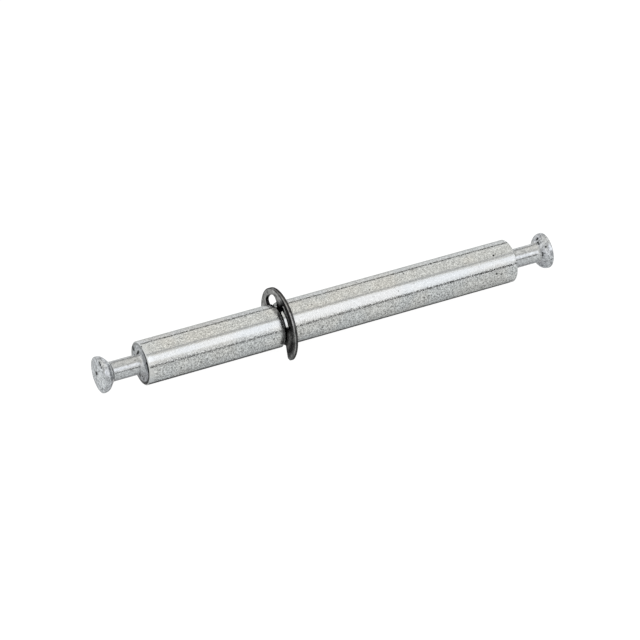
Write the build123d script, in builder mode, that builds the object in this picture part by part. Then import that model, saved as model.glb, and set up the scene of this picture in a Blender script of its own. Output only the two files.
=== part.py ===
from build123d import *
from math import asin, atan2, cos, degrees, hypot, isclose, radians, sin, tan
import os

os.makedirs("parts", exist_ok=True)

# Double cam dowel: a turned steel pin with a cam head at each end, for joining two cabinet panels
# through a third one between them. A spring clip in a groove stops the pin against the middle panel.
# Sizes are in millimetres. Lengths along the pin are measured from the clip's stop face.

# Shank
shank_diameter = 8.0
short_shank_length = 27.6  # stop face to the shoulder in the first outer panel
middle_panel_thickness = 19.0
long_shank_length = short_shank_length + middle_panel_thickness
shoulder_chamfer = 0.15

# Cam heads, the same at both ends
neck_diameter = 3.6
neck_length = 5.75
neck_round = 0.8  # where the neck meets the shoulder and the cone
head_diameter = 6.65
head_cone_angle = 49.0  # between the cone and the axis
head_rim_length = 0.95
head_rim_round = 1.5  # between the cone and the rim
head_edge_round = 0.2  # between the rim and the end face
head_crown = 0.3  # how far the end face bulges
centre_mark_diameter = 0.75
centre_mark_depth = 0.2

# Groove for the clip
groove_depth = 0.5
groove_width = 1.05
groove_edge_break = 0.1

# Clip
clip_diameter = 13.7
clip_thickness = 0.6
clip_rim_width = 1.25
clip_edge_break = 0.05  # stamped edges, on both faces
clip_grip_clearance = 0.02  # between the clip's grip and the floor of the groove
mouth_squeeze = 1.1  # how much narrower the mouth's throat is than the groove's floor
mouth_flare = 20.0  # slope of each side of the mouth
arm_setback = 2.1  # how far short of the full circle the arms end flat
mouth_tip_round = 0.42  # inner corner of each flat end
arm_end_round = 0.95  # outer corner of each flat end
pocket_half_angle = 68.0  # from the middle of the prong to the grip of an arm
pocket_round = 0.75
prong_width = 1.3
prong_root_round = 1.25
prong_tip_length = 0.8  # the least that the root rounding leaves straight
grip_corner_round = 0.15

shank_radius = shank_diameter / 2
neck_radius = neck_diameter / 2
head_radius = head_diameter / 2
mark_radius = centre_mark_diameter / 2
groove_radius = shank_radius - groove_depth
clip_radius = clip_diameter / 2
grip_radius = groove_radius + clip_grip_clearance
pocket_radius = clip_radius - clip_rim_width
mouth_tip_depth = clip_radius - arm_setback  # axis to the flat ends of the arms
head_cone_length = (head_radius - neck_radius) / tan(radians(head_cone_angle))
stud_length = neck_length + head_cone_length + head_rim_length

# The dowel lies on the two tips of the clip, mouth down, and tips towards its long, heavier side until
# the edge of the shank or of the far head meets the floor.
shank_edge_lean = atan2(mouth_tip_depth - shank_radius, long_shank_length - shoulder_chamfer)
head_edge_lean = atan2(mouth_tip_depth - head_radius, long_shank_length + stud_length - head_edge_round)
lean = min(shank_edge_lean, head_edge_lean)
along = Vector(cos(lean), 0, -sin(lean))  # towards the long side
upright = Vector(sin(lean), 0, cos(lean))
middle = (long_shank_length - short_shank_length) / 2  # half way between the two ends
seat = Vector(-middle * cos(lean), 0, mouth_tip_depth * cos(lean))  # stop face, on the axis

dowel_axis = Axis(seat, along)
long_side = Plane(origin=seat, x_dir=along, z_dir=along.cross(upright))
short_side = Plane(origin=seat, x_dir=-along, z_dir=upright.cross(along))
clip_plane = Plane(origin=seat, x_dir=upright.cross(-along), z_dir=-along)  # its Y axis is upright


with BuildPart() as dowel_pin:
    crown_radius = (head_radius**2 + head_crown**2) / (2 * head_crown)
    mark_start = degrees(asin(mark_radius / crown_radius))
    crown_angle = degrees(asin(head_radius / crown_radius)) - mark_start

    for side, shank_length in ((long_side, long_shank_length), (short_side, short_shank_length)):
        neck_end = shank_length + neck_length
        cone_end = neck_end + head_cone_length
        rim_end = shank_length + stud_length
        with BuildSketch(side):
            with BuildLine():
                half_section = Polyline(
                    (0, 0),
                    (0, shank_radius),
                    (shank_length, shank_radius),
                    (shank_length, neck_radius),
                    (neck_end, neck_radius),
                    (cone_end, head_radius),
                    (rim_end, head_radius),
                )
                crown_centre = (rim_end + head_crown - crown_radius, 0)
                end_face = CenterArc(crown_centre, crown_radius, mark_start, crown_angle)
                Polyline((0, 0), (rim_end + head_crown - centre_mark_depth, 0), end_face @ 0)
            make_face()
        revolve(axis=dowel_axis)

    with BuildSketch(short_side):
        with Locations((0, groove_radius)):
            Rectangle(groove_width, shank_radius, align=(Align.MIN, Align.MIN))
    revolve(axis=dowel_axis, mode=Mode.SUBTRACT)

    def rings(radius):
        circles = dowel_pin.edges().filter_by(GeomType.CIRCLE)
        return circles.filter_by(lambda edge: isclose(edge.radius, radius, abs_tol=0.001)).sort_by(dowel_axis)

    shank_rings = rings(shank_radius)
    chamfer(shank_rings[1:-1], groove_edge_break)
    shank_rings = rings(shank_radius)
    chamfer([shank_rings[0], shank_rings[-1]], shoulder_chamfer)
    fillet(rings(neck_radius), neck_round)
    fillet(rings(head_radius)[1:-1], head_rim_round)
    rim_rings = rings(head_radius)
    fillet([rim_rings[0], rim_rings[-1]], head_edge_round)


with BuildPart() as retaining_clip:
    with BuildSketch(clip_plane) as outline:
        Circle(clip_radius)

        # The space around the back prong, from one arm's grip to the other's
        with BuildLine():
            pocket_arc = CenterArc((0, 0), pocket_radius, 90 - pocket_half_angle, 2 * pocket_half_angle)
            Polyline(pocket_arc @ 1, (0, 0), pocket_arc @ 0)
        make_face(mode=Mode.SUBTRACT)
        Rectangle(prong_width, (pocket_radius + clip_radius) / 2, align=(Align.CENTER, Align.MIN))
        Circle(grip_radius, mode=Mode.SUBTRACT)

        # The mouth widens from its throat, and the arms end flat below it
        throat_half = groove_radius - mouth_squeeze / 2
        throat_depth = (grip_radius**2 - throat_half**2) ** 0.5
        flare = tan(radians(mouth_flare))
        mouth_bottom_half = throat_half + flare * (clip_radius - throat_depth)
        with BuildLine():
            Polyline(
                (0, 0),
                (throat_half, -throat_depth),
                (mouth_bottom_half, -clip_radius),
                (-mouth_bottom_half, -clip_radius),
                (-throat_half, -throat_depth),
                close=True,
            )
        make_face(mode=Mode.SUBTRACT)
        with Locations((0, -mouth_tip_depth)):
            Rectangle(clip_diameter, clip_radius, align=(Align.CENTER, Align.MAX), mode=Mode.SUBTRACT)

        def corners_at(radius):
            corners = outline.vertices().filter_by(lambda v: isclose(hypot(v.X, v.Y), radius, abs_tol=0.001))
            return corners.sort_by(lambda v: abs(v.X))

        def tip_corners():
            return outline.vertices().group_by(Axis.Y)[0].sort_by(lambda v: abs(v.X))

        tip_inner = throat_half + flare * (mouth_tip_depth - throat_depth)
        tip_width = (clip_radius**2 - mouth_tip_depth**2) ** 0.5 - tip_inner
        fillet(tip_corners()[2:], min(arm_end_round, tip_width))
        fillet(tip_corners()[:2], min(mouth_tip_round, tip_width / 2))
        fillet(corners_at(grip_radius), grip_corner_round)
        fillet(corners_at(pocket_radius)[2:], pocket_round)
        prong_length = pocket_radius - grip_radius
        fillet(corners_at(pocket_radius)[:2], min(prong_root_round, prong_length - prong_tip_length))
    extrude(amount=clip_thickness)
    flat_faces = retaining_clip.faces().filter_by(clip_plane)
    chamfer(flat_faces.edges(), clip_edge_break)


dowel_pin.part.label = "dowel_pin"
retaining_clip.part.label = "retaining_clip"
export_step(dowel_pin.part, "parts/dowel_pin.step")
export_step(retaining_clip.part, "parts/retaining_clip.step")
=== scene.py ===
from math import atan2, ceil, cos, hypot, pi, radians, sin, tan

import bpy
from mathutils import Matrix, Vector

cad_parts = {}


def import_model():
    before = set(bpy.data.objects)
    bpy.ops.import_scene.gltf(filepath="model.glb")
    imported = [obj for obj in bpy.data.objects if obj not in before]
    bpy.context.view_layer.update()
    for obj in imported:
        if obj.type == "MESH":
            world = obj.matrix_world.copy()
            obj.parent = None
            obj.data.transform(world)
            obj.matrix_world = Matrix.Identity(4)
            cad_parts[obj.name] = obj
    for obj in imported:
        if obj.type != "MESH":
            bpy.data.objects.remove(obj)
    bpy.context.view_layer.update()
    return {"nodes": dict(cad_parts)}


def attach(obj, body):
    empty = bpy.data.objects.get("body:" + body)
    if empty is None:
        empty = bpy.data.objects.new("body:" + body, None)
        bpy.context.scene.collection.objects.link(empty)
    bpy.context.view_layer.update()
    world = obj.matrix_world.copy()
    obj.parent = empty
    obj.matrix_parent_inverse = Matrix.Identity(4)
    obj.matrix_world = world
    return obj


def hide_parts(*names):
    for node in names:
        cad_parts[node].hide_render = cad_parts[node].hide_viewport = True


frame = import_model()
mm = 0.001
print("frame loaded:", sorted(frame["nodes"]))

scene = bpy.context.scene
scene.view_settings.view_transform = "Standard"


# node helpers: a Wire is one output of a node, and takes part in plain sums

class Wire:
    def __init__(self, tree, socket=None):
        self.tree = tree
        self.socket = socket

    def node(self, kind, settings=None, values=None, out=0):
        made = self.tree.nodes.new(kind)
        for name, value in (settings or {}).items():
            setattr(made, name, value)
        for name, value in (values or {}).items():
            if isinstance(value, Wire):
                self.tree.links.new(value.socket, made.inputs[name])
            else:
                made.inputs[name].default_value = value
        return Wire(self.tree, made.outputs[out]) if made.outputs else None

    def other(self, out):  # another output of the same node
        return Wire(self.tree, self.socket.node.outputs[out])

    def maths(self, operation, first, second=0.0):
        return self.node("ShaderNodeMath", {"operation": operation}, {0: first, 1: second})

    def __add__(self, value):
        return self.maths("ADD", self, value)

    def __sub__(self, value):
        return self.maths("SUBTRACT", self, value)

    def __rsub__(self, value):
        return self.maths("SUBTRACT", value, self)

    def __mul__(self, value):
        return self.maths("MULTIPLY", self, value)

    def __truediv__(self, value):
        return self.maths("DIVIDE", self, value)

    __radd__ = __add__
    __rmul__ = __mul__

    def size(self):  # without its sign
        return self.maths("ABSOLUTE", self)

    def root(self):
        return self.maths("SQRT", self)

    def over(self, low):
        return self.maths("MAXIMUM", self, low)

    def under(self, high):
        return self.maths("MINIMUM", self, high)

    def between(self, low, high):  # 0 below low, 1 above high, smooth between
        return self.node("ShaderNodeMapRange", {"interpolation_type": "SMOOTHSTEP"},
                         {"Value": self, "From Min": low, "From Max": high})

    def mixed(self, first, second):  # two colours by this mask
        return self.node("ShaderNodeMix", {"data_type": "RGBA"}, {0: self, 6: first, 7: second}, out=2)

    def tinted(self, colour):  # a colour made lighter or darker by this number
        return self.node("ShaderNodeVectorMath", {"operation": "SCALE"}, {0: colour, "Scale": self})


def newShader(owner):
    owner.use_nodes = True
    owner.node_tree.nodes.clear()
    return Wire(owner.node_tree)


def millimetres(sheet):
    # place in the dowel's own frame: X along it from the clip's stop face, Z away from the clip's mouth
    place = sheet.node("ShaderNodeTexCoord", out="Object")
    return sheet.node("ShaderNodeVectorMath", {"operation": "SCALE"}, {0: place, "Scale": 1 / mm})


def shares(sheet, *names):
    return [sheet.node("ShaderNodeAttribute", {"attribute_name": name}, out="Fac") for name in names]


def noiseAt(sheet, place, scale, detail=2.0, rough=0.5):
    return sheet.node("ShaderNodeTexNoise", {"noise_dimensions": "3D"},
                      {"Vector": place, "Scale": scale, "Detail": detail, "Roughness": rough})


def metal(sheet, look, colour, roughness, height):
    bump = sheet.node("ShaderNodeBump", {}, {
        "Strength": look["bumpStrength"], "Distance": look["bumpHeight"] * mm, "Height": height})
    steel = sheet.node("ShaderNodeBsdfPrincipled", {}, {
        "Base Color": colour, "Metallic": 1.0, "Roughness": roughness,
        "Specular Tint": look["grazingTint"], "Normal": bump})
    sheet.node("ShaderNodeOutputMaterial", {}, {"Surface": steel})


# the dowel's sizes in mm, and where it lies

pin = {
    "shankRadius": 4.0,
    "shortShank": 27.6,         # stop face of the clip to the short side's shoulder
    "longShank": 46.6,
    "shoulderChamfer": 0.15,
    "chamferRounds": (0.03, 0.04),
    "neckRadius": 1.8,
    "neckLength": 5.75,
    "neckRootRound": 0.8,
    "neckEndRound": 0.5,
    "headRadius": 3.325,
    "coneAngle": 49.0,
    "rimLength": 0.95,
    "rimRound": 1.5,
    "edgeRound": 0.2,
    "crown": 0.3,
    "crownSteps": 10,
    "markRadius": 0.375,        # centre mark in each end face
    "markDepth": 0.2,
    "markRound": 0.05,
    "grooveRadius": 3.5,
    "grooveWidth": 1.05,
    "grooveEdge": 0.1,
    "grooveRound": 0.04,
    "stepRadius": 3.46,         # a turned step on each shoulder, painted dark as shade
    "stepWidth": 0.5,
    "stepRounds": (0.03, 0.05),
    "faceRings": 2,             # turning marks inside it
    "ringDepth": 0.03,
    "ringRoundShare": 0.1,      # their rounding, as a share of the way from a mark's edge to its floor
    "ringClearance": 0.05,      # to the rounding at the neck's root
    "segments": 240,
    "cornerStep": 7.0,          # degrees between two rings of points on a rounding
    "neckLastRing": 0.38,       # a ring of points before the neck's end
    "shadeReach": 0.12,         # how far painted shade spreads from a corner
    "shoulderFade": (1.3, 0.65),    # where the grain starts to fade before a shoulder, and where it ends
    "grooveFade": 0.8,          # where it starts to fade beside the groove
    "grooveSmooth": (0.05, 0.1),    # and where it ends, on the short and on the long side
    "lipShade": (0.44, 0.5),    # how far the painted shade of the groove's left wall reaches over its floor
    "wallShade": 0.1,           # and that of its right wall
    "jointBand": (0.13, 0.18),  # shares of the cone's length, from the neck
    "collarBand": (0.28, 0.4),
}

clip = {
    "radius": 6.85,
    "thickness": 0.6,
    "rimWidth": 1.25,
    "gripRadius": 3.52,
    "mouthWidth": 5.9,
    "mouthFlare": 20.0,
    "tipDepth": 4.75,           # axis to the flat ends of the arms
    "tipRound": 0.42,
    "armRound": 0.95,
    "pocketAngle": 68.0,
    "pocketRound": 0.75,
    "prongWidth": 1.3,
    "prongRootRound": 1.25,
    "gripRound": 0.15,
    "frontEdge": 0.07,          # rolled edge of the stamping, on the short side
    "backEdge": 0.04,
    "edgeSteps": 4,
    "edgeBand": 0.05,
    "burnished": 0.17,          # how far the punch cut clean before the metal tore
    "tearBand": 0.04,
    "rimStep": 1.5,             # degrees between two points on a long arc, and on a rounding
    "cornerStep": 8.0,
}

lean = atan2(clip["tipDepth"] - pin["shankRadius"], pin["longShank"] - pin["shoulderChamfer"])
along = Vector((cos(lean), 0.0, -sin(lean)))
upright = Vector((sin(lean), 0.0, cos(lean)))
middle = (pin["longShank"] - pin["shortShank"]) / 2
seat = Vector((-middle * cos(lean), 0.0, clip["tipDepth"] * cos(lean))) * mm
ownFrame = Matrix.Translation(seat) @ Matrix((along, (0.0, 1.0, 0.0), upright)).transposed().to_4x4()


def placed(mesh, name, node, material):
    piece = bpy.data.objects.new(name, mesh)
    scene.collection.objects.link(piece)
    piece.matrix_world = ownFrame
    mesh.materials.append(material)
    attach(piece, "root")
    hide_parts(node)
    return piece


def meshOf(name, points, faces, normals, shown, looks):
    # shown has one row for each point, with its share of each look
    mesh = bpy.data.meshes.new(name)
    mesh.from_pydata([[c * mm for c in p] for p in points], [], faces)
    mesh.validate()
    mesh.polygons.foreach_set("use_smooth", [True] * len(mesh.polygons))
    mesh.normals_split_custom_set_from_vertices(normals)
    for look, values in zip(looks, zip(*shown)):
        mesh.attributes.new(look, "FLOAT", "POINT").data.foreach_set("value", values)
    return mesh


# the pin is turned: corners are (along, radius, rounding, look), from the short end to the long end

pinLooks = {                    # grain of the zinc, larger blotches, painted shade, painted shade on the upper side only
    "shank": (1.0, 0.0, 0.0, 0.0),
    "smooth": (0.15, 0.1, -0.15, 0.0),      # painted shade below 0 is painted light
    # painted shade is strongest on lip, wall, rim and joint; painted light is strongest on the collar
    "lip": (0.1, 0.0, 2.0, 0.0),
    "floor": (0.1, 0.1, 0.0, 1.0),
    "face": (0.6, 1.5, 0.1, 0.0),
    "root": (0.5, 0.6, 0.05, 0.2),
    "neck": (0.5, 0.5, 0.04, 0.18),
    "joint": (0.3, 0.3, 0.8, 0.0),
    "collar": (0.3, 0.6, -0.9, 0.0),
    "cone": (0.6, 1.2, 0.14, 0.0),
    "rim": (0.2, 0.3, 0.95, 0.0),
    "wall": (0.1, 0.0, 0.9, 0.0),
    "head": (0.7, 1.2, 0.05, 0.0),
    "edge": (0.4, 0.8, 0.14, 0.0),
    "end": (0.5, 1.35, -0.2, 0.0),
    "mark": (0.3, 0.5, -0.2, 0.0),
}


def shoulderCorners(corner):
    # from the shank over the shoulder's face to the neck
    p = pin
    radius, chamfer, depth, reach = p["shankRadius"], p["shoulderChamfer"], p["ringDepth"], p["shadeReach"]
    fadeStart, fadeEnd = p["shoulderFade"]
    outerRound, innerRound = p["chamferRounds"]
    edgeRound, floorRound = p["stepRounds"]
    stepOut, stepIn = p["stepRadius"] + p["stepWidth"] / 2, p["stepRadius"] - p["stepWidth"] / 2
    corners = [(-fadeStart, radius, 0.0, "shank"),
               (-fadeEnd, radius, 0.0, corner),
               (-chamfer, radius, outerRound, corner),
               (0.0, radius - chamfer, innerRound, corner),
               (0.0, stepOut + reach / 2, 0.0, "rim"),
               (0.0, stepOut, edgeRound, "rim"),
               (-depth, p["stepRadius"], floorRound, "rim"),
               (0.0, stepIn, edgeRound, "face")]
    ringTop = stepIn - reach
    marks = 2 * p["faceRings"]
    pitch = (ringTop - p["neckRadius"] - p["neckRootRound"] - p["ringClearance"]) / marks
    for i in range(marks + 1):
        corners.append((-depth * (i % 2), ringTop - i * pitch, p["ringRoundShare"] * pitch, "face"))
    return corners


def headCorners(joint, collar):
    # the neck, the cone, the rim and the end face with its centre mark
    p = pin
    neck, head, neckEnd, root = p["neckRadius"], p["headRadius"], p["neckLength"], p["neckRootRound"]
    coneLength = (head - neck) / tan(radians(p["coneAngle"]))
    coneEnd = neckEnd + coneLength
    rimEnd = coneEnd + p["rimLength"]
    corners = [(0.0, neck, root, "root"),
               (root + 2 * p["shadeReach"], neck, 0.0, "neck"),
               (neckEnd - p["neckLastRing"], neck, 0.0, "neck"),
               (neckEnd, neck, p["neckEndRound"], "neck")]
    for band, look in (("jointBand", joint), ("collarBand", collar)):
        for share in p[band]:
            corners.append((neckEnd + share * coneLength, neck + share * (head - neck), 0.0, look))
    corners += [(coneEnd, head, p["rimRound"], "head"),
                (rimEnd, head, p["edgeRound"], "edge")]

    steps, mark, depth = p["crownSteps"], p["markRadius"], p["markDepth"]
    crownRadius = (head ** 2 + p["crown"] ** 2) / (2 * p["crown"])
    for i in range(1, steps + 1):
        r = head + (mark - head) * i / steps
        d = rimEnd + (crownRadius ** 2 - r ** 2) ** 0.5 - (crownRadius - p["crown"])
        corners.append((d, r, p["markRound"] if i == steps else 0.0, "end"))
    within = p["markRound"] / mark * 2
    corners.append((d - within * depth, (1 - within) * mark, 0.0, "mark"))
    return corners + [(d - depth, 0.0, 0.0, "mark")]


def grooveCorners():
    p = pin
    radius, floor, wide, edge = p["shankRadius"], p["grooveRadius"], p["grooveWidth"], p["grooveEdge"]
    rounding, fade = p["grooveRound"], p["grooveFade"]
    smoothBefore, smoothAfter = p["grooveSmooth"]
    lipEnd, floorStart = p["lipShade"]
    # the lip and the walls are painted dark as shade, and the floor is painted dark on its top
    return [(-wide - fade, radius, 0.0, "shank"),
            (-wide - edge - smoothBefore, radius, 0.0, "smooth"),
            (-wide - edge, radius, rounding, "smooth"),
            (-wide, radius - edge, rounding, "lip"),
            (-wide, floor, rounding, "lip"),
            (-wide + lipEnd, floor, 0.0, "lip"),
            (-wide + floorStart, floor, 0.0, "floor"),
            (-p["wallShade"], floor, 0.0, "floor"),
            (0.0, floor, rounding, "wall"),
            (0.0, radius - edge, rounding, "wall"),
            (edge, radius, rounding, "wall"),
            (edge + smoothAfter, radius, 0.0, "smooth"),
            (fade, radius, 0.0, "shank")]


def pinCorners():
    # only the short end has a joint painted dark as shade, a collar painted pale as a reflection, and a
    # smooth edge to its shank
    short = shoulderCorners("smooth") + headCorners("joint", "collar")
    long = shoulderCorners("shank") + headCorners("neck", "cone")
    shortEnd = [(-(pin["shortShank"] + d), r, rounding, look) for d, r, rounding, look in reversed(short)]
    longEnd = [(pin["longShank"] + d, r, rounding, look) for d, r, rounding, look in long]
    return shortEnd + grooveCorners() + longEnd


def shortTurn(start, end):
    return (end - start + pi) % (2 * pi) - pi


def turnedProfile(corners):
    # (along, radius, normal along, normal outwards, look) round every corner; the metal is on the right
    profile = []
    for i, (a, r, rounding, look) in enumerate(corners):
        if i in (0, len(corners) - 1):
            profile.append((a, r, -1.0 if i == 0 else 1.0, 0.0, look))
            continue
        inAngle = atan2(r - corners[i - 1][1], a - corners[i - 1][0])
        outAngle = atan2(corners[i + 1][1] - r, corners[i + 1][0] - a)
        turn = shortTurn(inAngle, outAngle)
        if rounding == 0.0 or abs(turn) < 1e-6:
            heading = inAngle + turn / 2
            profile.append((a, r, -sin(heading), cos(heading), look))
            continue
        side = 1.0 if turn > 0 else -1.0
        back = rounding * tan(abs(turn) / 2)
        centreA = a - back * cos(inAngle) - side * rounding * sin(inAngle)
        centreR = r - back * sin(inAngle) + side * rounding * cos(inAngle)
        count = max(3, ceil(abs(turn) / radians(pin["cornerStep"])))
        for k in range(count + 1):
            heading = inAngle + turn * k / count
            nA, nR = -sin(heading), cos(heading)
            profile.append((centreA - side * rounding * nA, centreR - side * rounding * nR, nA, nR, look))
    return profile


def turnedMesh(name):
    segments = pin["segments"]
    points, normals, shown, rings = [], [], [], []
    for a, r, nA, nR, look in turnedProfile(pinCorners()):
        first = len(points)
        turns = 1 if r < 1e-6 else segments
        for k in range(turns):
            t = 2 * pi * k / segments
            points.append((a, -r * sin(t), r * cos(t)))
            normals.append((nA, -nR * sin(t), nR * cos(t)))
            shown.append(pinLooks[look])
        rings.append((first, turns))
    faces = []
    for (one, oneTurns), (two, twoTurns) in zip(rings, rings[1:]):
        for k in range(segments):
            n = (k + 1) % segments
            loop = [one + k % oneTurns, one + n % oneTurns, two + n % twoTurns, two + k % twoTurns]
            faces.append(list(dict.fromkeys(loop)))
    return meshOf(name, points, faces, normals, shown, ("grain", "blotches", "paintedShade", "paintedTopShade"))


zinc = {
    "coolColour": (0.604, 0.617, 0.626, 1.0),
    "warmColour": (0.622, 0.620, 0.611, 1.0),
    "blotchColour": (0.570, 0.585, 0.615, 1.0),
    "grazingTint": (0.8, 0.8, 0.8, 1.0),
    "patchScale": 0.16,         # noise scales, per mm: patches are warm among cool zinc
    "crystalScale": 3.9,
    "waveScale": 2.6,
    "speckScale": 2.1,
    "stainScale": 2.0,
    "patchEdge": (0.4, 0.62),   # where a noise turns from none to full
    "speckEdge": (0.66, 0.76),
    "spotEdge": (0.6, 1.2),      # shares of a spot's radius, from full to none
    "grain": 2.8,               # how strong the grain is at the sides, and how much less on top
    "grainLostOnTop": 0.9,
    "highlightAngle": 47.0,        # the stripe where the soft box's highlight falls, with the grain painted weaker there, in degrees from the top to the near side
    "highlightEdge": (0.95, 0.985),    # cosines of the angle to its middle, from none to full
    "topEdge": (0.97, 0.99),    # cosines of the angle to the top, for the painted shade on the upper side
    "nearEdge": (-0.2, 0.85),   # its sines towards the near side, where the painted shade is heavier
    "highlightGrainLoss": 0.75,         # how much weaker the grain is painted there
    "worms": 0.22,              # how strong the other marks are beside the crystals
    "specks": 0.3,
    "stains": 2.4,
    "shadeLoss": 0.97,          # how much of the light the painted shade and the spots take
    "spotLoss": 0.95,
    "levels": (0.2, 1.4),       # darkest and palest before grime, as shares of the plain colour
    "polish": 0.09,             # roughness of the bare zinc
    "bumpStrength": 0.45,
    "bumpHeight": 0.03,
}

spots = [                        # the largest pits and stains, and spots of painted shade: centre in the dowel's own frame, and radius
    ((42.4, -1.9, 3.5), 0.22),      # on the long shank
    ((42.1, -3.9, 0.8), 0.2),
    ((43.0, -4.0, 0.4), 0.17),
    ((22.1, -3.15, 2.5), 0.1),
    ((-27.6, 2.95, 1.34), 0.55),    # on the short side's shoulder: a dark spot, then painted shade in the corner at the neck's root
    ((-27.75, 0.6, 1.98), 0.5),
    # painted dark reflection on the shoulder's near side
    ((-27.6, -2.7, 1.65), 0.4),
    ((-27.6, -3.15, 0.95), 0.4),
    ((-27.6, -3.38, 0.36), 0.35),
    # the neck's painted shadow and reflection on the shoulder's face below it
    ((-27.65, -0.94, -2.15), 0.3),
    ((-27.6, -1.37, -2.53), 0.25),
    ((-27.6, 0.34, -2.78), 0.35),
    ((-35.95, 0.4, 0.24), 0.4),     # on the short side's end face: painted shade in the upper side of its centre mark
    ((-35.95, 0.06, 0.46), 0.42),
    # on the short side's end face, by its rim
    ((-35.75, -0.55, 3.04), 0.27),
    ((-35.75, -1.01, 2.87), 0.3),
    ((-35.75, -1.42, 2.53), 0.25),
    ((53.1, 0.47, 2.66), 0.36),     # on the long side's cone
    ((52.8, -0.29, 2.38), 0.24),
    ((52.85, -0.65, 2.25), 0.2),
    ((53.4, -2.1, 2.35), 0.26),
    ((52.75, -2.15, 1.15), 0.22),
    ((52.75, -2.25, 0.75), 0.2),
]


def spotShare(sheet, place):
    nearest = None
    for centre, radius in spots:
        away = sheet.node("ShaderNodeVectorMath", {"operation": "DISTANCE"},
                          {0: place, 1: centre}, out="Value")
        share = away / radius
        nearest = nearest.under(share) if nearest else share
    return 1.0 - nearest.between(*zinc["spotEdge"])


def zincSteel():
    material = bpy.data.materials.new("zincPlatedSteel")
    sheet = newShader(material)
    place = millimetres(sheet)
    grain, blotches, paintedShade, paintedTopShade = shares(sheet, "grain", "blotches", "paintedShade", "paintedTopShade")
    y = sheet.node("ShaderNodeSeparateXYZ", {}, {0: place}, out="Y")
    z = y.other("Z")
    out = (y * y + z * z + 0.01).root()     # from the axis, kept off zero
    up, near = z / out, 0.0 - y / out       # which way the surface faces

    # what the zinc has on it, and its painted shade and light
    patches = noiseAt(sheet, place, zinc["patchScale"]).between(*zinc["patchEdge"])
    crystals = noiseAt(sheet, place, zinc["crystalScale"], 3.0, 0.6) - 0.5
    worms = (noiseAt(sheet, place, zinc["waveScale"], 1.0) - 0.5).size() * 6.0 - 0.45
    specks = noiseAt(sheet, place, zinc["speckScale"], 1.0).between(*zinc["speckEdge"])
    stains = noiseAt(sheet, place, zinc["stainScale"], 3.0, 0.65) - 0.5
    spotted = spotShare(sheet, place)
    # painted shade in corners and recesses, heavier on the near side, and on the top; painted light where a
    # look's value is below 0
    cornerShading = paintedShade * (0.5 + 0.6 * near.between(*zinc["nearEdge"]) + 0.6 * stains)
    paintedShading = (cornerShading + paintedTopShade * up.between(*zinc["topEdge"])).under(1.0)

    # the grain is painted weaker along the stripe where the soft box's highlight falls
    stripe = radians(zinc["highlightAngle"])
    underHighlight = (up * cos(stripe) + near * sin(stripe)).between(*zinc["highlightEdge"])
    coarse = grain * (zinc["grain"] - zinc["grainLostOnTop"] * up) * (1.0 - zinc["highlightGrainLoss"] * underHighlight)
    texture = coarse * (crystals + worms * zinc["worms"] - specks * zinc["specks"])
    darkest, palest = zinc["levels"]
    level = (1.0 + texture + blotches * stains * zinc["stains"]).over(darkest).under(palest)
    level = level * (1.0 - zinc["shadeLoss"] * paintedShading) * (1.0 - zinc["spotLoss"] * spotted)
    plain = patches.mixed(zinc["coolColour"], zinc["warmColour"])
    colour = level.tinted(blotches.mixed(plain, zinc["blotchColour"]))
    roughness = zinc["polish"] + grain * (0.04 + 0.12 * crystals) + 0.14 * blotches
    height = grain * (crystals * 0.6 + worms * 0.25 - specks * 0.5) + blotches * stains - 2.0 * spotted
    metal(sheet, zinc, colour, roughness, height)
    return material


pinPiece = placed(turnedMesh("dowelPinTurned"), "dowelPinTurned",
                  "dowel_pin", zincSteel())
print("pin turned:", len(pinPiece.data.polygons), "faces")


# the clip is stamped: its outline in (across, up), with the metal on the left of the way round

clipLooks = {                   # flat face, clean cut edge, and how pale the rest is
    "face": (1.0, 0.0, 0.0),
    "clean": (0.0, 1.0, 0.0),
    "torn": (0.0, 0.0, 0.11),
    # dark and black also paint the inner walls as shade
    "dark": (0.0, 0.0, 0.04),
    "black": (0.0, 0.0, 0.0),
}


def sharpMeeting(first, second, offset, near):
    # where two edges, both moved sideways by offset, cross closest to a known point; at least one is a line
    if first[0] == "line" and second[0] == "line":
        (x1, y1), (dx1, dy1) = first[1:]
        (x2, y2), (dx2, dy2) = second[1:]
        x1, y1, x2, y2 = x1 - offset * dy1, y1 + offset * dx1, x2 - offset * dy2, y2 + offset * dx2
        s = ((x2 - x1) * dy2 - (y2 - y1) * dx2) / (dx1 * dy2 - dy1 * dx2)
        return x1 + s * dx1, y1 + s * dy1
    line, arc = (first, second) if first[0] == "line" else (second, first)
    (x, y), (dx, dy) = line[1:]
    x, y = x - offset * dy, y + offset * dx
    radius = arc[1] - arc[2] * offset
    foot = x * dx + y * dy
    reach = (foot ** 2 - (x * x + y * y) + radius ** 2) ** 0.5
    both = [(x + s * dx, y + s * dy) for s in (-foot - reach, -foot + reach)]
    return min(both, key=lambda q: hypot(q[0] - near[0], q[1] - near[1]))


def touchPoint(edge, centre):
    # where a rounding with this centre touches an edge
    if edge[0] == "arc":
        scale = edge[1] / hypot(*centre)
        return centre[0] * scale, centre[1] * scale
    (x, y), (dx, dy) = edge[1:]
    s = (centre[0] - x) * dx + (centre[1] - y) * dy
    return x + s * dx, y + s * dy


def sweep(centre, radius, start, turn, step):
    # the points along an arc, without its last
    count = max(2, ceil(abs(turn) / radians(step)))
    angles = [start + turn * k / count for k in range(count)]
    return [(centre[0] + radius * cos(t), centre[1] + radius * sin(t)) for t in angles]


def stretch(edge, start, end):
    # the points along an edge, without its last
    if edge[0] == "line":
        return [start]
    first = atan2(start[1], start[0])
    turn = shortTurn(first, atan2(end[1], end[0]))
    return sweep((0.0, 0.0), edge[1], first, turn, clip["rimStep"])


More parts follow.
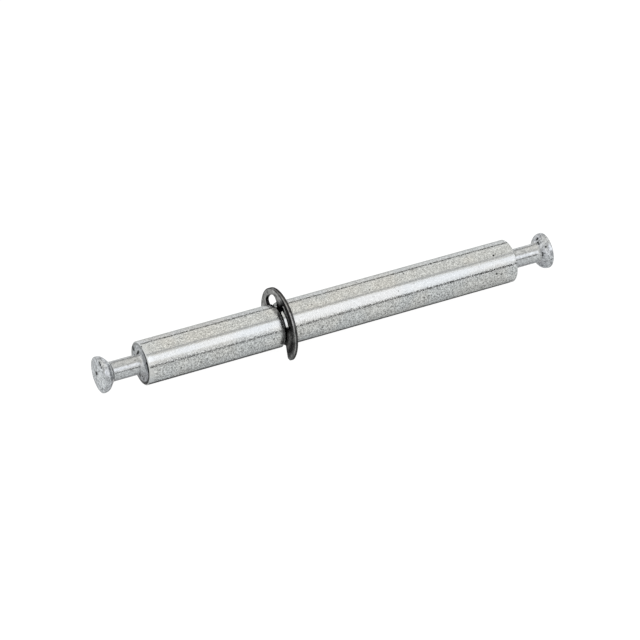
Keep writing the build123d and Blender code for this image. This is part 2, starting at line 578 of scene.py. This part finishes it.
def halfOutline():
    # from the top of the rim down the left arm and back up to the tip of the prong, as (across, up, inner)
    c = clip
    rim, grip, depth = c["radius"], c["gripRadius"], c["tipDepth"]
    throat = c["mouthWidth"] / 2
    throatDepth = (grip ** 2 - throat ** 2) ** 0.5
    flare = radians(c["mouthFlare"])
    innerTip = throat + tan(flare) * (depth - throatDepth)
    outerTip = (rim ** 2 - depth ** 2) ** 0.5
    pocket = rim - c["rimWidth"]
    spoke = radians(90 + c["pocketAngle"])
    half = c["prongWidth"] / 2
    edges = [("arc", rim, 1),
             ("line", (0.0, -depth), (1.0, 0.0)),
             ("line", (-throat, -throatDepth), (sin(flare), cos(flare))),
             ("arc", grip, -1),
             ("line", (0.0, 0.0), (cos(spoke), sin(spoke))),
             ("arc", pocket, -1),
             ("line", (-half, 0.0), (0.0, -1.0)),
             ("arc", grip, -1)]
    corners = [((-outerTip, -depth), c["armRound"]),
               ((-innerTip, -depth), c["tipRound"]),
               ((-throat, -throatDepth), c["gripRound"]),
               ((grip * cos(spoke), grip * sin(spoke)), c["gripRound"]),
               # below 0 for a hollow corner
               ((pocket * cos(spoke), pocket * sin(spoke)), -c["pocketRound"]),
               ((-half, (pocket ** 2 - half ** 2) ** 0.5), -c["prongRootRound"]),
               ((-half, (grip ** 2 - half ** 2) ** 0.5), c["gripRound"])]
    points = []
    last = (0.0, rim)
    for i, (corner, rounding) in enumerate(corners):
        centre = sharpMeeting(edges[i], edges[i + 1], rounding, corner)
        start, end = touchPoint(edges[i], centre), touchPoint(edges[i + 1], centre)
        points += [(x, y, i > 1) for x, y in stretch(edges[i], last, start)]
        first = atan2(start[1] - centre[1], start[0] - centre[0])
        turn = shortTurn(first, atan2(end[1] - centre[1], end[0] - centre[0]))
        points += [(x, y, i > 0) for x, y in sweep(centre, abs(rounding), first, turn, c["cornerStep"])]
        last = end
    return points + [(x, y, True) for x, y in stretch(edges[-1], last, (0.0, grip))]


def clipOutline():
    left = halfOutline()
    right = [(-x, y, inner) for x, y, inner in reversed(left[1:])]
    return left + [(0.0, clip["gripRadius"], True)] + right


def outwards(points):
    # unit normals that point away from the metal
    result = []
    for i in range(len(points)):
        (x0, y0, _), (x1, y1, _) = points[i - 1], points[(i + 1) % len(points)]
        size = hypot(x1 - x0, y1 - y0)
        result.append(((y1 - y0) / size, -(x1 - x0) / size))
    return result


def clipSection():
    # over the edge from face to face: (along, inset, normal along, normal outwards, outer look, inner look)
    c = clip
    front, back, band = c["frontEdge"], c["backEdge"], c["edgeBand"]
    thick, cut = c["thickness"], c["burnished"]
    quarter = [pi / 2 * k / c["edgeSteps"] for k in range(c["edgeSteps"] + 1)]
    # the inner walls, round the pockets and along the grip, are painted black as shade
    section = [(-thick, front + band, -1.0, 0.0, "face", "face")]
    for t in quarter:
        section.append((-thick + front * (1 - cos(t)), front * (1 - sin(t)), -cos(t), sin(t),
                        "clean", "dark" if t == 0 else "black"))
    section += [(-thick + cut, 0.0, 0.0, 1.0, "clean", "black"),
                (-thick + cut + c["tearBand"], 0.0, 0.0, 1.0, "torn", "black")]
    for t in quarter:
        section.append((-back * (1 - sin(t)), back * (1 - cos(t)), sin(t), cos(t),
                        "torn" if t == 0 else "dark", "black"))
    return section + [(0.0, back + band, 1.0, 0.0, "face", "face")]


def stampedMesh(name):
    outline, section = clipOutline(), clipSection()
    sides = outwards(outline)
    points, normals, shown = [], [], []
    for a, inset, nA, nOut, outerLook, innerLook in section:
        for (x, y, inner), (nx, ny) in zip(outline, sides):
            points.append((a, x - inset * nx, y - inset * ny))
            normals.append((nA, nOut * nx, nOut * ny))
            shown.append(clipLooks[innerLook if inner else outerLook])
    count = len(outline)
    faces = []
    for first in range(0, (len(section) - 1) * count, count):
        for k in range(count):
            n = (k + 1) % count
            faces.append([first + k, first + n, first + count + n, first + count + k])
    faces.append(list(reversed(range(count))))
    faces.append([(len(section) - 1) * count + k for k in range(count)])
    return meshOf(name, points, faces, normals, shown, ("face", "clean", "rest"))


spring = {
    "darkColour": (0.012, 0.011, 0.012, 1.0),
    "paleColour": (0.50, 0.495, 0.495, 1.0),
    "grazingTint": (0.5, 0.5, 0.5, 1.0),
    "faceTone": 0.7,            # from dark to pale: the flat face on its far side and top, painted pale as a reflection of the floor
    # painted shade on the near side, and the arm's own painted light and shade
    "nearSideShade": 0.67,
    "armTone": 0.06,
    "cutTone": 0.1,             # the clean cut edge on its far side
    "cloudScale": 1.1,          # noise scales, per mm
    "gritScale": 4.5,
    "clouds": 2.6,              # how strong they are
    "grit": 1.6,
    "darkest": 0.15,            # as a share of the plain colour
    "polish": 0.25,             # roughness, besides clouds and grit
    "bumpStrength": 0.4,
    "bumpHeight": 0.02,
}

clipShading = {                        # where the clip's painted light and shade change, in degrees from the top to the near side
    "farSide": (-30.0, -12.0),
    "nearSide": (2.0, 16.0),
    "arm": (60.0, 85.0),
    "rimStart": (-26.0, -15.0),
    "rimEnd": (11.0, 19.0),
    "cutTop": (-30.0, -20.0),   # on the clean cut edge
    "cutNearSide": (4.0, 18.0),
    "cutArm": (112.0, 140.0),
    "gripEdge": (4.0, 4.5),     # and in mm from the axis
    "holeEdge": (4.3, 5.7),
    "armInner": (4.7, 5.4),
    "ringStart": (5.2, 5.5),
    "ringEnd": (6.0, 6.2),
    "armOuter": (6.1, 6.45),
    "farRim": (6.6, 6.72),
    "sheenTrack": (5.8, 6.0),
    "rimLine": (6.33, 6.46),
    "drawIn": 0.01,             # how far the painted highlight and the painted dark line draw in for each degree
}


def clipFaceTone(angle, out, arm, inner):
    # how pale the flat face is: painted pale as a reflection on the far side and the top, painted dark as
    # shade on the near side down to the arm
    # the arm is painted in bands of light and shade from the grip outwards
    ring = out.between(*clipShading["ringStart"]) - out.between(*clipShading["ringEnd"])
    armTone = spring["armTone"] + 0.3 * out.between(*clipShading["gripEdge"]) + 0.22 * inner
    armTone = armTone - 0.16 * ring + 0.25 * out.between(*clipShading["armOuter"])
    tone = spring["faceTone"] - spring["nearSideShade"] * angle.between(*clipShading["nearSide"]) + arm * armTone
    # painted shade along the far side's outer edge, and near the hole except on the arm
    farSide = 1.0 - angle.between(*clipShading["farSide"])
    tone = tone * (1.0 - 0.8 * farSide * out.between(*clipShading["farRim"]))
    tone = tone * (1.0 - 0.7 * (1.0 - out.between(*clipShading["holeEdge"])) * (1.0 - arm))

    # a painted highlight and a painted dark line along the upper rim
    sheenTrack = out + clipShading["drawIn"] * angle
    upperRim = angle.between(*clipShading["rimStart"]) * (1.0 - angle.between(*clipShading["rimEnd"]))
    tone = tone + 0.3 * upperRim * sheenTrack.between(*clipShading["sheenTrack"])
    return tone * (1.0 - 0.8 * upperRim * sheenTrack.between(*clipShading["rimLine"]))


def springSteel():
    material = bpy.data.materials.new("darkSpringSteel")
    sheet = newShader(material)
    place = millimetres(sheet)
    face, clean, rest = shares(sheet, "face", "clean", "rest")
    y = sheet.node("ShaderNodeSeparateXYZ", {}, {0: place}, out="Y")
    z = y.other("Z")
    angle = y.maths("ARCTAN2", 0.0 - y, z) * (180 / pi)     # from the top to the near side
    out = (y * y + z * z).root()                            # from the axis
    arm = angle.between(*clipShading["arm"])
    inner = 1.0 - out.between(*clipShading["armInner"])
    # the clean cut edge is painted dark on the far side, paler over the top, palest as a highlight on the
    # near side, and darker again toward the bottom
    cutTone = spring["cutTone"] + 0.27 * angle.between(*clipShading["cutTop"])
    cutTone = cutTone + 0.21 * angle.between(*clipShading["cutNearSide"]) - 0.26 * angle.between(*clipShading["cutArm"])
    tone = face * clipFaceTone(angle, out, arm, inner) + clean * cutTone + rest

    clouds = noiseAt(sheet, place, spring["cloudScale"], 3.0, 0.6) - 0.5
    grit = noiseAt(sheet, place, spring["gritScale"], 2.0, 0.6) - 0.5
    level = (1.0 + clouds * spring["clouds"] + grit * spring["grit"]).over(spring["darkest"])
    colour = level.tinted(tone.mixed(spring["darkColour"], spring["paleColour"]))
    roughness = spring["polish"] + clouds * 0.2 + grit * 0.12 + 0.3 * face * arm * inner
    metal(sheet, spring, colour, roughness, grit + clouds)
    return material


clipPiece = placed(stampedMesh("retainingClipStamped"), "retainingClipStamped",
                   "retaining_clip", springSteel())
print("clip stamped:", len(clipPiece.data.polygons), "faces")


# studio: a white floor and world, a soft box in front, and strips that draw the lines along the metal

white = (1.0, 1.0, 1.0, 1.0)

studio = {
    "floorSize": 4.0,
    "floorColour": (0.785, 0.80, 0.812, 1.0),
    "floorGlow": 1.14,          # what the camera sees of the floor, besides its shadow
    "floorGlowShare": 0.85,
    "floorSheen": 0.95,         # what the metal sees of it
    "floorSheenShare": 0.25,
    "floorSheenColour": (0.97, 1.0, 1.01, 1.0),
    "worldHigh": (0.93, 0.92, 0.865, 1.0),
    "worldLow": (0.995, 1.005, 1.0, 1.0),
    "worldFade": (0.0, 0.9),    # from low to high, as sines of the height
    "underHeight": 0.0001,      # dark cards, seen only in the metal, that paint the dowel's shadow on the floor: left, right, near, far
    "underShank": (-0.0365, 0.0368, -0.0028, 0.004),
    "underShortNeck": (-0.0425, -0.0366, -0.003, 0.004),
    "underLongNeck": (0.0369, 0.0425, -0.003, 0.004),
    "shankShade": 0.12,
    "neckShade": 0.5,
}

glows = {                       # colour and strength
    "blackStrip": ((1.0, 1.0, 1.0), 0.0),
    "greyStrip": ((1.0, 1.0, 0.98), 0.58),
    "paleStrip": ((1.0, 1.0, 0.99), 0.9),
    "softBoxLight": ((0.975, 0.99, 1.01), 1.39),
}

# long cards beside the dowel: glow, distance from the axis, and stations of (x, lower edge, upper edge)
# the edges are angles round the X axis, from the front (0) over the top (90)
strips = {
    "upperStrip": ("blackStrip", 0.30, [(-0.35, 142.5, 150.0), (0.6, 142.5, 150.0)]),
    "backStrip": ("paleStrip", 0.30, [(-0.05, 152.0, 178.5), (0.112, 152.0, 178.5)]),
    "middleStrip": ("greyStrip", 0.30, [(-0.35, 65.5, 74.8), (0.6, 65.5, 74.8)]),
    "lowerStrip": ("blackStrip", 0.30, [
        (0.0, 2.0, 13.0), (0.064, 2.0, 13.0), (0.074, -3.4, 4.0), (0.088, -3.2, 4.4),
        (0.101, 0.2, 6.0), (0.13, 1.1, 7.7), (0.152, 5.0, 13.0), (0.24, 8.0, 18.0)]),
    "softBox": ("softBoxLight", 0.31, [
        (-0.05, 30.0, 54.0), (0.067, 30.0, 54.0), (0.077, 29.5, 60.0),
        (0.105, 29.0, 60.0), (0.122, 17.5, 60.5), (0.16, 14.0, 62.0),
        (0.17, 17.5, 61.5), (0.178, 30.0, 54.0), (0.27, 30.0, 54.0)]),
}


def plainGlow(name, colour, strength):
    material = bpy.data.materials.new(name)
    sheet = newShader(material)
    light = sheet.node("ShaderNodeEmission", {}, {"Color": (*colour, 1.0), "Strength": strength})
    sheet.node("ShaderNodeOutputMaterial", {}, {"Surface": light})
    return material


def floorMaterial():
    material = bpy.data.materials.new("whiteSweep")
    sheet = newShader(material)
    rays = sheet.node("ShaderNodeLightPath", out="Is Camera Ray")
    paper = sheet.node("ShaderNodeBsdfDiffuse", {}, {"Color": studio["floorColour"]})
    glow = sheet.node("ShaderNodeEmission", {}, {"Color": white, "Strength": studio["floorGlow"]})
    sheen = sheet.node("ShaderNodeEmission", {}, {
        "Color": studio["floorSheenColour"], "Strength": studio["floorSheen"]})
    seen = sheet.node("ShaderNodeMixShader", {}, {0: rays * studio["floorGlowShare"], 1: paper, 2: glow})
    mirrored = sheet.node("ShaderNodeMixShader", {}, {
        0: rays.other("Is Glossy Ray") * studio["floorSheenShare"], 1: seen, 2: sheen})
    behind = sheet.node("ShaderNodeNewGeometry", out="Backfacing")
    clear = sheet.node("ShaderNodeBsdfTransparent")
    surface = sheet.node("ShaderNodeMixShader", {}, {0: behind, 1: mirrored, 2: clear})
    sheet.node("ShaderNodeOutputMaterial", {}, {"Surface": surface})
    return material


def card(name, points, faces, material, onlyMirrored=True):
    mesh = bpy.data.meshes.new(name)
    mesh.from_pydata(points, [], faces)
    mesh.materials.append(material)
    piece = bpy.data.objects.new(name, mesh)
    scene.collection.objects.link(piece)
    if onlyMirrored:
        piece.visible_camera = piece.visible_diffuse = piece.visible_shadow = False


def flatCard(name, left, right, near, far, height, material, onlyMirrored=True):
    points = [(left, near, height), (right, near, height), (right, far, height), (left, far, height)]
    card(name, points, [(0, 1, 2, 3)], material, onlyMirrored)


def strip(name, material, reach, stations, steps=8):
    points, faces = [], []
    for first, second in zip(stations, stations[1:]):
        for k in range(steps + 1):
            x, *angles = (a + (b - a) * k / steps for a, b in zip(first, second))
            if k:
                faces.append([len(points) - 2, len(points), len(points) + 1, len(points) - 1])
            points += [(x, -reach * cos(radians(v)), reach * sin(radians(v)) + seat.z) for v in angles]
    card(name, points, faces, material)


half = studio["floorSize"] / 2
flatCard("floor", -half, half, -half, half, 0.0, floorMaterial(), False)
# painted shadow under the shank and the necks, seen only in the metal
flatCard("underDowel", *studio["underShank"], studio["underHeight"],
         plainGlow("paintedShankShadow", (1.0, 1.0, 1.0), studio["shankShade"]))
paintedNeckShadow = plainGlow("paintedNeckShadow", (1.0, 1.0, 1.0), studio["neckShade"])
for name in ("underShortNeck", "underLongNeck"):
    flatCard(name, *studio[name], studio["underHeight"], paintedNeckShadow)

glowMaterials = {name: plainGlow(name, *look) for name, look in glows.items()}
for name, (glow, reach, stations) in strips.items():
    strip(name, glowMaterials[glow], reach, stations)


def world():
    made = bpy.data.worlds.new("studio")
    scene.world = made
    sheet = newShader(made)
    direction = sheet.node("ShaderNodeTexCoord", out="Generated")
    height = sheet.node("ShaderNodeSeparateXYZ", {}, {0: direction}, out="Z")
    tent = height.between(*studio["worldFade"]).mixed(studio["worldLow"], studio["worldHigh"])
    rays = sheet.node("ShaderNodeLightPath", out="Is Camera Ray")
    sky = sheet.node("ShaderNodeBackground", {}, {"Color": rays.mixed(tent, white), "Strength": 1.0})
    sheet.node("ShaderNodeOutputWorld", {}, {"Surface": sky})


world()
print("studio lit")


# camera: where it stands, in degrees round the dowel, and what lies at the middle of its picture, in mm

shot = {
    "azimuth": -27.10,
    "elevation": 35.35,
    "distance": 596.92,
    "lens": 186.78,
    "sensorWidth": 36.0,
    "clipRange": (0.01, 20.0),  # in metres
    "aimAlong": 8.0,            # from the stop face towards the long end
    "aimRight": -0.135,
    "aimUp": -1.273,
}
turn, tilt = radians(shot["azimuth"]), radians(shot["elevation"])
back = Vector((sin(turn) * cos(tilt), -cos(turn) * cos(tilt), sin(tilt)))
right = Vector((cos(turn), sin(turn), 0.0))
up = back.cross(right)
aim = seat + (along * shot["aimAlong"] + right * shot["aimRight"] + up * shot["aimUp"]) * mm
stand = aim + back * shot["distance"] * mm
camera = bpy.data.objects.new("camera", bpy.data.cameras.new("camera"))
scene.collection.objects.link(camera)
camera.data.lens = shot["lens"]
camera.data.sensor_width = shot["sensorWidth"]
camera.data.clip_start, camera.data.clip_end = shot["clipRange"]
camera.matrix_world = Matrix.Translation(stand) @ Matrix((right, up, back)).transposed().to_4x4()
scene.camera = camera
print("camera set")
